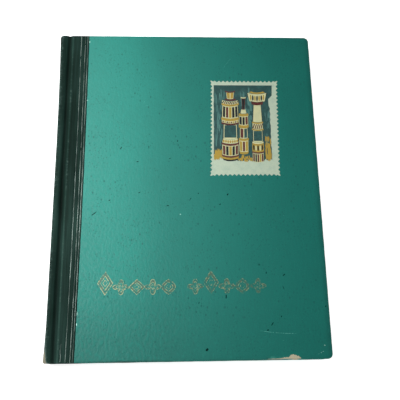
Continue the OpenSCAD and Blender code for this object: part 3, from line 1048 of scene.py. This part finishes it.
def make_motif():
    """The stamp: perforated stock, a painted ground, brush strokes and three stacks of plain jars."""
    rng = random.Random(5)
    shapes = perforated_sheet()
    # the painted ground: straight at the top and left, brushed out at the right and foot
    left, right, head, foot = 0.045, 0.890, 0.950, 0.150
    ground = [(left, head)] + ragged((left, head), (left + 0.004, foot + 0.07), 14, 0.004, rng)[1:]
    ground += ragged((left + 0.004, foot + 0.07), (0.32, foot), 16, 0.020, rng)
    ground += ragged((0.32, foot), (right, foot + 0.01), 30, 0.016, rng)[1:]
    ground += ragged((right, foot + 0.01), (right - 0.012, 0.70), 18, 0.008, rng)[1:]
    ground += [(right - 0.03, 0.73), (right - 0.035, 0.80), (right + 0.02, 0.84), (right + 0.025, head)]
    shapes.append(flat_shape(ground, GROUND, SLATE))
    # a paler wash over the ground, then ochre at the foot and right
    for strokes in ((34, (0.06, 0.20), (0.28, 0.84), 0.11, 0.009, WASH, WASHES),
                    (26, (0.44, 0.62), (0.50, 0.85), 0.11, 0.016, WASH, WASHES),
                    (12, (0.80, 0.87), (0.30, 0.62), 0.09, 0.008, WASH, WASHES),
                    (26, (0.06, 0.20), (0.155, 0.20), 0.075, 0.016, OCHRE, MARKED),
                    (18, (0.40, 0.60), (0.14, 0.17), 0.045, 0.016, OCHRE, MARKED),
                    (30, (0.80, 0.88), (0.15, 0.36), 0.070, 0.013, OCHRE, MARKED)):
        shapes += brush_marks(rng, *strokes)
    shapes += pot(0.485, 0.225, MIDDLE) + pot(0.290, 0.160, TALL) + pot(0.690, 0.145, SLIM)
    piece("front_printed_motif", join(shapes), INKS, "front_cover", flat=True)


# -------- foil ornament row and scuffs
def lozenge(cx, cy, w, h):
    """A diamond with extra points along its sides."""
    turns = [(1, t) for t in even(-1, 1, 8)[:-1]] + [(-1, t) for t in even(1, -1, 8)[:-1]]
    return [(cx + w * s * (1 - abs(t)), cy + h * t) for s, t in turns]


def rosette(cx, cy, w, h):
    """A round figure with four petals."""
    turns = [(a, 0.74 + 0.26 * cos(4 * a)) for a in circle(40)]
    return [(cx + w * r * cos(a), cy + h * r * sin(a)) for a, r in turns]


def leaf_shape(cx, cy, w, h):
    """A pointed oval."""
    turns = [(1, s) for s in even(0, 1, 12)] + [(-1, s) for s in even(1, 0, 12)[1:-1]]
    return [(cx + side * w * sin(pi * s), cy + h * (2 * s - 1)) for side, s in turns]


def even_points(outline, z, step=0.55 * MM):
    """Points about a step apart along a closed outline."""
    pts = []
    for (x, y), (next_x, next_y) in zip(outline, outline[1:] + outline[:1]):
        count = max(1, round(hypot(next_x - x, next_y - y) / step))
        pts += [(x + (next_x - x) * q / count, y + (next_y - y) * q / count, z) for q in range(count)]
    return pts


def make_ornaments():
    """A row of lozenges, rosettes and leaves in worn gold foil, in two groups. Each has three outlines."""
    rng = random.Random(23)
    base_y, tall, low = from_tail(54.5), 9.8 * MM, 6.4 * MM
    # each kind's shape, its half width in millimetres and its half height
    kinds = [(lozenge, 6.4, tall), (rosette, 6.9, low), (lozenge, 6.7, low), (rosette, 6.9, low),
             (leaf_shape, 5.8, low)]
    pitch = 13.3
    parts, outlines = [], []
    for start, order in ((47.4, (0, 1, 2, 3, 4)), (123.2, (1, 0, 3, 4, 1))):
        for i, k in enumerate(order):
            shape, half, h = kinds[k]
            x = from_spine(start + pitch * i)
            rings = [shape(x, base_y + h, half * MM * share, h * share) for share in (1.0, 0.62, 0.30)]
            field = [[(x, y, TOP_Z + 0.5 * LIFT) for x, y in ring] for ring in rings[:2]]
            parts.append((*loft(field, close=True), 1))
            outlines += rings
    for outline in outlines:
        pts = even_points(outline, TOP_Z + LIFT)
        phase = rng.random() * 6
        held = [rng.random() + 0.25 * wobble(i, phase, 9.0) for i in range(len(pts))]
        widths = [(0.30 + 0.28 * max(0.0, h)) * MM for h in held]
        parts.append((*ribbon(pts, widths, [h >= 0.24 for h in held], closed=True), 0))
    piece("front_foil_ornaments", join(parts), ["gold", "gold_field"], "front_cover",
          flat=True)


# Dark marks in the front cover: x and y from the spine and tail, length and width, all in millimetres, and
# slope in degrees
MARKS = [(36, 125, 5.6, 1.0, 38), (149, 52, 3.6, 1.1, 86), (153, 142, 2.2, 1.3, 60), (146, 133, 1.9, 0.9, 30),
         (199, 70, 2.6, 1.3, 40), (184, 72, 2.0, 0.8, 80), (178, 79, 2.0, 0.8, 95), (198, 59, 3.4, 0.6, 110),
         (58, 186, 3.0, 1.0, 60), (83, 187, 2.8, 0.6, 88), (109, 193, 2.0, 0.7, 84), (102, 176, 1.5, 0.9, 20),
         (73, 173, 2.0, 1.0, 10), (120, 138, 2.8, 0.6, 55), (100, 132, 2.2, 0.9, 5), (49, 137, 1.6, 1.0, 30),
         (127, 143, 1.5, 0.9, 80), (75, 144, 2.2, 0.7, 35), (132, 9, 2.8, 2.2, 50), (187, 29, 3.6, 0.9, 55),
         (183, 24, 1.6, 1.2, 20), (195, 35, 1.4, 1.0, 80), (233, 43, 1.6, 1.0, 60), (126, 47, 2.0, 0.7, 75)]
# Nicks in the paper's edge beside the cloth: how far from the tail, and length
NICKS = [(294.2, 2.6), (39.6, 3.0), (30.6, 2.0), (233, 1.0)]
# The chipped and the bare board at the tail edge, as outlines that start and end on it
CHIP = [(192.6, 0.2), (193.6, 1.1), (194.4, 0.8), (195.3, 1.5), (196.4, 1.1), (197.6, 1.6), (198.6, 1.2),
        (199.7, 1.9), (200.5, 2.9), (201.3, 3.5), (202.1, 3.3), (203.0, 3.9), (204.0, 3.1), (205.2, 3.2),
        (206.2, 2.3), (207.4, 2.5), (208.2, 1.4), (208.9, 1.2), (209.2, 0.2)]
BARE_RIM = [(181.0, 0.0), (182.6, 0.35), (184.0, 0.2), (186.1, 0.55), (187.8, 0.3), (189.4, 0.6),
            (191.0, 0.4), (192.8, 0.8), (193.4, 0.0)]


def on_cover(x, y, z=TOP_Z + LIFT):
    """A place on the front cover, x and y in millimetres from the spine and the tail."""
    return from_spine(x), from_tail(y), z


def blot(x, y, r, seed):
    """A small irregular flat fleck."""
    rng = random.Random(seed)
    verts = []
    for a in circle(9):
        dx, dy = [r * (0.6 + 0.5 * rng.random()) * part for part in (cos(a), sin(a))]
        verts.append(on_cover(x + dx, y + dy))
    return verts, [tuple(range(9))]


def stroke(x, y, length, width, degrees, seed):
    """A short tapered mark with an uneven outline, its middle at x and y."""
    rng = random.Random(seed)
    turn = radians(degrees)
    verts = []
    for a in circle(14):
        along, across = length / 2 * cos(a), width / 2 * sin(a) * rng.uniform(0.6, 1.2)
        verts.append(on_cover(x + along * cos(turn) - across * sin(turn),
                              y + along * sin(turn) + across * cos(turn)))
    return verts, [tuple(range(14))]


def thin_line(x0, y0, x1, y1, width, rng, bow=0.0):
    """A broken hairline between two places. bow moves its middle towards the head."""
    pts = [on_cover(x0 + (x1 - x0) * t, y0 + (y1 - y0) * t + bow * sin(pi * t))
           for t in even(0, 1, 40)]
    held = [rng.random() for _ in pts]
    return ribbon(pts, [width * (0.5 + 0.6 * h) * MM for h in held], [h >= 0.12 for h in held])


def make_scuffs():
    """Scratches, flecks, dark marks and nicks in the front cover."""
    rng = random.Random(31)
    pale, scratched, dark, board = range(4)
    # the long scratch near the tail and a short faint one near the head
    parts = [(*thin_line(175.2, 23.8, 206.6, 20.9, 0.46, rng, -0.7), scratched),
             (*thin_line(153, 268, 161, 279, 0.18, rng), scratched)]
    # four pale flecks at the tail corner and one in the middle of the cover
    flecks = [(229.6, 11.1, 0.6), (228.0, 6.2, 0.34), (226.4, 5.2, 0.30), (224.2, 4.4, 0.26), (111, 124, 0.5)]
    parts += [(*blot(*fleck, i), pale) for i, fleck in enumerate(flecks)]
    # small flecks scattered over the paper
    for i in range(26):
        x, y = 30 + 200 * rng.random(), 6 + 290 * rng.random()
        parts.append((*blot(x, y, 0.16 + 0.14 * rng.random(), 100 + i), scratched))
    parts += [(*stroke(*mark, i), dark) for i, mark in enumerate(MARKS)]
    widths = [(0.25 + 0.16 * (3 - abs(i - 3))) * MM for i in range(7)]
    for middle, length in NICKS:
        ys = [from_tail(middle) + d * MM for d in even(-length / 2, length / 2, 6)]
        parts.append((*ribbon([(paper_edge(y) + 0.25 * MM, y, TOP_Z + LIFT) for y in ys], widths), pale))
    for patch in (CHIP, BARE_RIM):
        verts = [on_cover(x, y + EDGE_R / MM) for x, y in patch]
        parts.append((verts, [tuple(reversed(range(len(patch))))], board))
    piece("front_scuffs", join(parts), ["scuff", "scratch", "mark", "board_patch"], "front_cover",
          flat=True)


def make_crease():
    """A short pale crack in the coating of the cloth at the tail."""
    steps = 24
    pts = [on_cover(13.0 + 0.25 * sin(i / 3), 1.2 + 14.5 * i / steps, TOP_Z - CLOTH_UNDER + LIFT)
           for i in range(steps + 1)]
    widths = [(0.5 - 0.4 * t ** 1.5) * MM for t in even(0, 1, steps)]
    piece("front_cloth_crease", ribbon(pts, widths), "silver", "front_cover", flat=True)


make_motif()
make_ornaments()
make_scuffs()
make_crease()


# -------- floor, light and camera
FLOOR_R, WALL_H, COVE_R, FLOOR_SIDES = 12.0, 3.2, 1.5, 64


def make_floor():
    """A round pale floor, slightly self-lit, whose far rim sweeps up into a low wall all round the album."""
    cove = [(FLOOR_R - COVE_R * (1 - s), COVE_R * (1 - c)) for s, c in quarter(8)] + [(FLOOR_R, WALL_H)]
    turns = circle(FLOOR_SIDES)
    rows = [[(r * cos(a), r * sin(a), z) for a in turns] for r, z in cove]
    verts, faces = loft(rows, close=True)
    mesh = bpy.data.meshes.new("floor")
    mesh.from_pydata(verts, [], faces + [tuple(range(FLOOR_SIDES))])
    n = Nodes("floor", own=False)
    color = n.shade((0.93, 0.93, 0.93), n.noise(4, 2), 0.98, 1.0)
    mesh.materials.append(n.finish(color, 0.9, Emission_Color=(1.0, 1.0, 1.0), Emission_Strength=0.70))
    floor = show("floor", mesh)
    floor.location.z = -0.05 * MM  # just clear of the album's back cover


def add_light(name, kind, at, target, **settings):
    """A light that shines from at towards target."""
    data = bpy.data.lights.new(name, kind)
    for key, value in settings.items():
        setattr(data, key, value)
    light = show(name, data)
    light.location = at
    light.rotation_euler = (Vector(target) - Vector(at)).to_track_quat("-Z", "Y").to_euler()
    return light


make_floor()
# The spot's blend of 1 makes its light fall off smoothly from the middle of the cone to its edge
add_light("window", "SPOT", (-0.689, 0.280, 1.066), (-0.277, 0.040, 0), energy=113.0,
          spot_size=radians(35.6), spot_blend=1.0, shadow_soft_size=0.24)
fill = add_light("fill", "AREA", (0.9, -0.3, 1.3), (0, 0, 0), energy=10.6, shape="DISK", size=1.4)
fill.visible_glossy = False

world = bpy.data.worlds.new("studio")
world.use_nodes = True
background = world.node_tree.nodes["Background"].inputs
background["Color"].default_value = (1, 1, 1, 1)
background["Strength"].default_value = 0.05
bpy.context.scene.world = world
bpy.context.scene.view_settings.view_transform = "Standard"

# the camera worked out from the photo: half a metre up, just past the tail edge, tilted about 17 degrees
camera_data = bpy.data.cameras.new("camera")
camera_data.sensor_width = 36
camera_data.lens = 1.45 * camera_data.sensor_width
camera = show("camera", camera_data)
camera.location = (-0.0134, -0.1594, 0.5080)
camera.rotation_euler = [radians(a) for a in (16.62, -2.49, -0.98)]
bpy.context.scene.camera = camera
